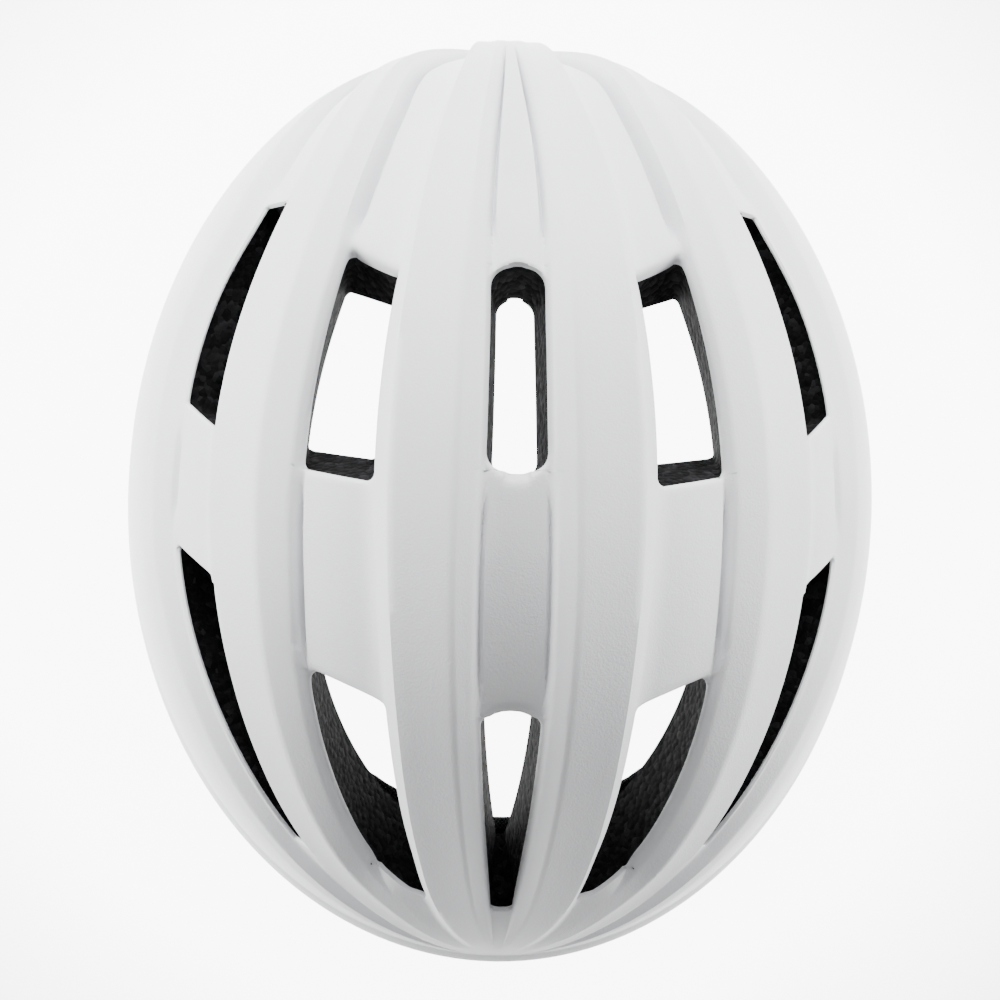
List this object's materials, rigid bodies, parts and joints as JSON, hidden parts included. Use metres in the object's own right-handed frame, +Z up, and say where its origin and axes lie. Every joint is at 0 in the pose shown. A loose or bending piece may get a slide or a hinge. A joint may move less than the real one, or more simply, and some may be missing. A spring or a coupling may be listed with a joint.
{
  "type": "cycling helmet",
  "caption": "Road cycling helmet: ribbed white shell over vented black foam, with pads, dial-fit cradle, side straps and a chin buckle.",
  "frame": {"origin": "middle of the head opening, where a head holds the helmet", "axes": "+Z up, -Y towards the front of the helmet, +X towards the wearer's left"},
  "size_m": [0.2198, 0.2714, 0.2479],
  "materials": {
    "shell_white": "matte cool white polycarbonate skin",
    "bead_foam": "black expanded bead foam",
    "pad_fabric": "black knitted pad cover",
    "webbing": "black woven webbing and hook tape",
    "black_plastic": "black moulded nylon",
    "grey_plastic": "dark grey moulded plastic"
  },
  "bodies": {
    "helmet": {"brow_hook_patch": "webbing", "brow_pad": "pad_fabric", "buckle_socket": "black_plastic", "chin_strap_left": "webbing", "chin_strap_right": "webbing", "crown_left_hook_patch": "webbing", "crown_left_pad": "pad_fabric", "crown_right_hook_patch": "webbing", "crown_right_pad": "pad_fabric", "foam_liner": "bead_foam", "front_anchor_left": "grey_plastic", "front_anchor_right": "grey_plastic", "front_strap_left": "webbing", "front_strap_right": "webbing", "height_socket_plate": "grey_plastic", "outer_shell": "shell_white", "rear_anchor_left": "grey_plastic", "rear_anchor_right": "grey_plastic", "rear_strap_left": "webbing", "rear_strap_right": "webbing", "side_left_hook_patch": "webbing", "side_left_pad": "pad_fabric", "side_right_hook_patch": "webbing", "side_right_pad": "pad_fabric", "strap_divider_left": "black_plastic", "strap_divider_right": "black_plastic", "strap_keeper": "webbing", "temple_pin_left": "grey_plastic", "temple_pin_right": "grey_plastic"},
    "cradle": {"rear_cradle": "black_plastic", "dial_housing": "black_plastic", "height_strip": "black_plastic", "nape_pad_left": "pad_fabric", "nape_pad_right": "pad_fabric", "temple_sleeve_left": "grey_plastic", "temple_sleeve_right": "grey_plastic"},
    "left_band": {"rack_band_left": "black_plastic"},
    "right_band": {"rack_band_right": "black_plastic"},
    "dial": {"fit_dial": "black_plastic", "pinion": "grey_plastic", "dial_cap": "grey_plastic"},
    "plug": {"buckle_plug": "black_plastic"},
    "left_lever": {"divider_lever_left": "grey_plastic"},
    "right_lever": {"divider_lever_right": "grey_plastic"}
  },
  "joints": [
    {"name": "cradle_tilt", "type": "hinge", "parent": "helmet", "child": "cradle", "pos_m": [0, 0, -0.015], "axis": [1, 0, 0], "range_deg": [-4, 2]},
    {"name": "dial_turn", "type": "hinge", "parent": "cradle", "child": "dial", "pos_m": [0, 0.09029, -0.07363], "axis": [0, 0.8387, -0.5446], "range_deg": [0, 165]},
    {"name": "left_band_draw", "type": "hinge", "parent": "cradle", "child": "left_band", "pos_m": [0, 0.02265, -0.02971], "axis": [0, 0.5446, 0.8387], "range_deg": [0, 8.5]},
    {"name": "right_band_draw", "type": "hinge", "parent": "cradle", "child": "right_band", "pos_m": [0, 0.02265, -0.02971], "axis": [0, 0.5446, 0.8387], "range_deg": [-9, 0]},
    {"name": "buckle_release", "type": "slide", "parent": "helmet", "child": "plug", "axis": [-1, 0, 0], "range_m": [0, 0.024], "deforming": ["chin_strap_right"]},
    {"name": "left_lever_open", "type": "hinge", "parent": "helmet", "child": "left_lever", "pos_m": [0.07531, -0.004, -0.0978], "axis": [0, -1, 0], "range_deg": [0, 100]},
    {"name": "right_lever_open", "type": "hinge", "parent": "helmet", "child": "right_lever", "pos_m": [-0.07531, -0.004, -0.0978], "axis": [0, 1, 0], "range_deg": [0, 100]}
  ],
  "couplings": [
    {"joint": "dial_turn", "follows": "left_band_draw", "ratio": 18.78},
    {"joint": "right_band_draw", "follows": "left_band_draw", "ratio": -1}
  ]
}
